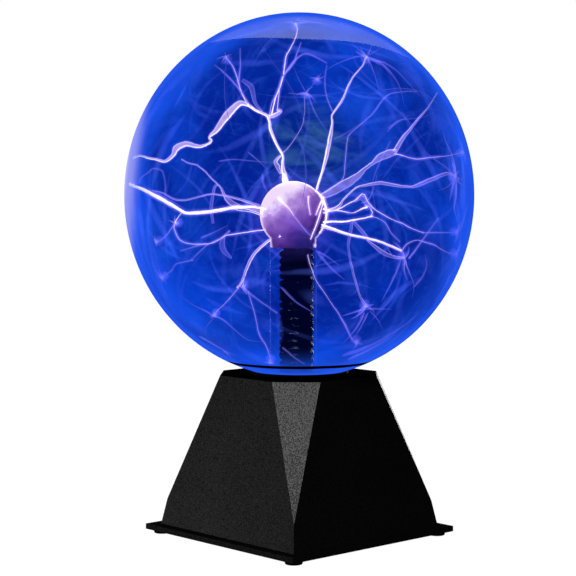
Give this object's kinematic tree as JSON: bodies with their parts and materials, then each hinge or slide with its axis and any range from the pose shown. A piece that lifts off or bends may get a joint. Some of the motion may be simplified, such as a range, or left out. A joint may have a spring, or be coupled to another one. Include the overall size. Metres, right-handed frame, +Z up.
{
  "type": "plasma ball",
  "caption": "Glass plasma globe on a black truncated-pyramid base with a square foot plate, centre electrode on a glass stem, rear rocker switch and power inlet.",
  "frame": {"origin": "on the supporting surface, at the centre of the outline, under the globe's axis", "axes": "+Z up along the globe's axis, +Y towards the rear face that carries the switch and the power inlet, +X along that face"},
  "size_m": [0.1899, 0.19, 0.285],
  "materials": {
    "housing_plastic": "fine pebble-grained matte black moulding",
    "plate_plastic": "fine-grained satin black moulding",
    "foot_rubber": "matte black rubber",
    "black_screw": "black zinc-plated steel",
    "globe_glass": "clear blown glass, polished, lit blue from inside",
    "gasket_rubber": "soft black rubber",
    "neck_silicone": "cured translucent white silicone",
    "stem_glass": "clear glass tube, polished",
    "electrode_coating": "pale lavender conductive coating, lit by the discharge",
    "steel_bright": "bright plated steel",
    "spring_steel_dark": "dark oiled spring steel",
    "wool_steel_dark": "packed dark steel wool",
    "brass_parts": "plain brass",
    "stopper_rubber": "grey-black silicone rubber",
    "board_laminate": "green solder-masked laminate",
    "ferrite": "sintered grey-black ferrite",
    "bobbin_plastic": "moulded black nylon",
    "copper_wire": "enamelled copper wire",
    "sink_aluminium": "plain aluminium",
    "chip_plastic": "moulded black epoxy",
    "capacitor_sleeve": "dark blue shrink sleeve",
    "film_capacitor_resin": "dipped ochre resin",
    "resistor_enamel": "tan enamel",
    "connector_nylon": "natural nylon",
    "jack_plastic": "glossy black moulding",
    "switch_plastic": "satin black nylon",
    "rocker_plastic": "satin black nylon rocker",
    "lead_red": "red silicone insulation",
    "lead_black": "black PVC insulation",
    "lead_yellow": "yellow PVC insulation"
  },
  "bodies": {
    "base": {"base_shell": "housing_plastic", "base_plate": "plate_plastic", "rubber_foot_1": "foot_rubber", "rubber_foot_2": "foot_rubber", "rubber_foot_3": "foot_rubber", "rubber_foot_4": "foot_rubber", "plate_screws": "black_screw", "globe": "globe_glass", "globe_gasket": "gasket_rubber", "neck_seal": "neck_silicone", "electrode_tube": "stem_glass", "electrode_lining": "electrode_coating", "contact_plunger": "steel_bright", "contact_spring": "spring_steel_dark", "steel_wool": "wool_steel_dark", "spring_cup": "brass_parts", "tube_stopper": "stopper_rubber", "circuit_board": "board_laminate", "board_screws": "steel_bright", "transformer_core": "ferrite", "secondary_bobbin": "bobbin_plastic", "secondary_winding": "copper_wire", "primary_bobbin": "bobbin_plastic", "primary_winding": "copper_wire", "heat_sink": "sink_aluminium", "power_transistor": "chip_plastic", "transistor_screw": "steel_bright", "main_capacitor": "capacitor_sleeve", "small_capacitors": "capacitor_sleeve", "film_capacitor": "film_capacitor_resin", "driver_chip": "chip_plastic", "resistors": "resistor_enamel", "board_connectors": "connector_nylon", "dc_jack_body": "jack_plastic", "dc_jack_contact": "brass_parts", "dc_jack_nut": "steel_bright", "switch_housing": "switch_plastic", "switch_terminals": "brass_parts", "microphone": "sink_aluminium", "microphone_boot": "gasket_rubber", "high_voltage_lead": "lead_red", "dc_leads": "lead_red", "switch_leads": "lead_black", "microphone_leads": "lead_yellow"},
    "rocker": {"rocker": "rocker_plastic"}
  },
  "joints": [
    {"name": "rocker_tilt", "type": "hinge", "parent": "base", "child": "rocker", "pos_m": [0.015, 0.04699, 0.03574], "axis": [1, 0, 0], "range_deg": [-20, 0]}
  ]
}
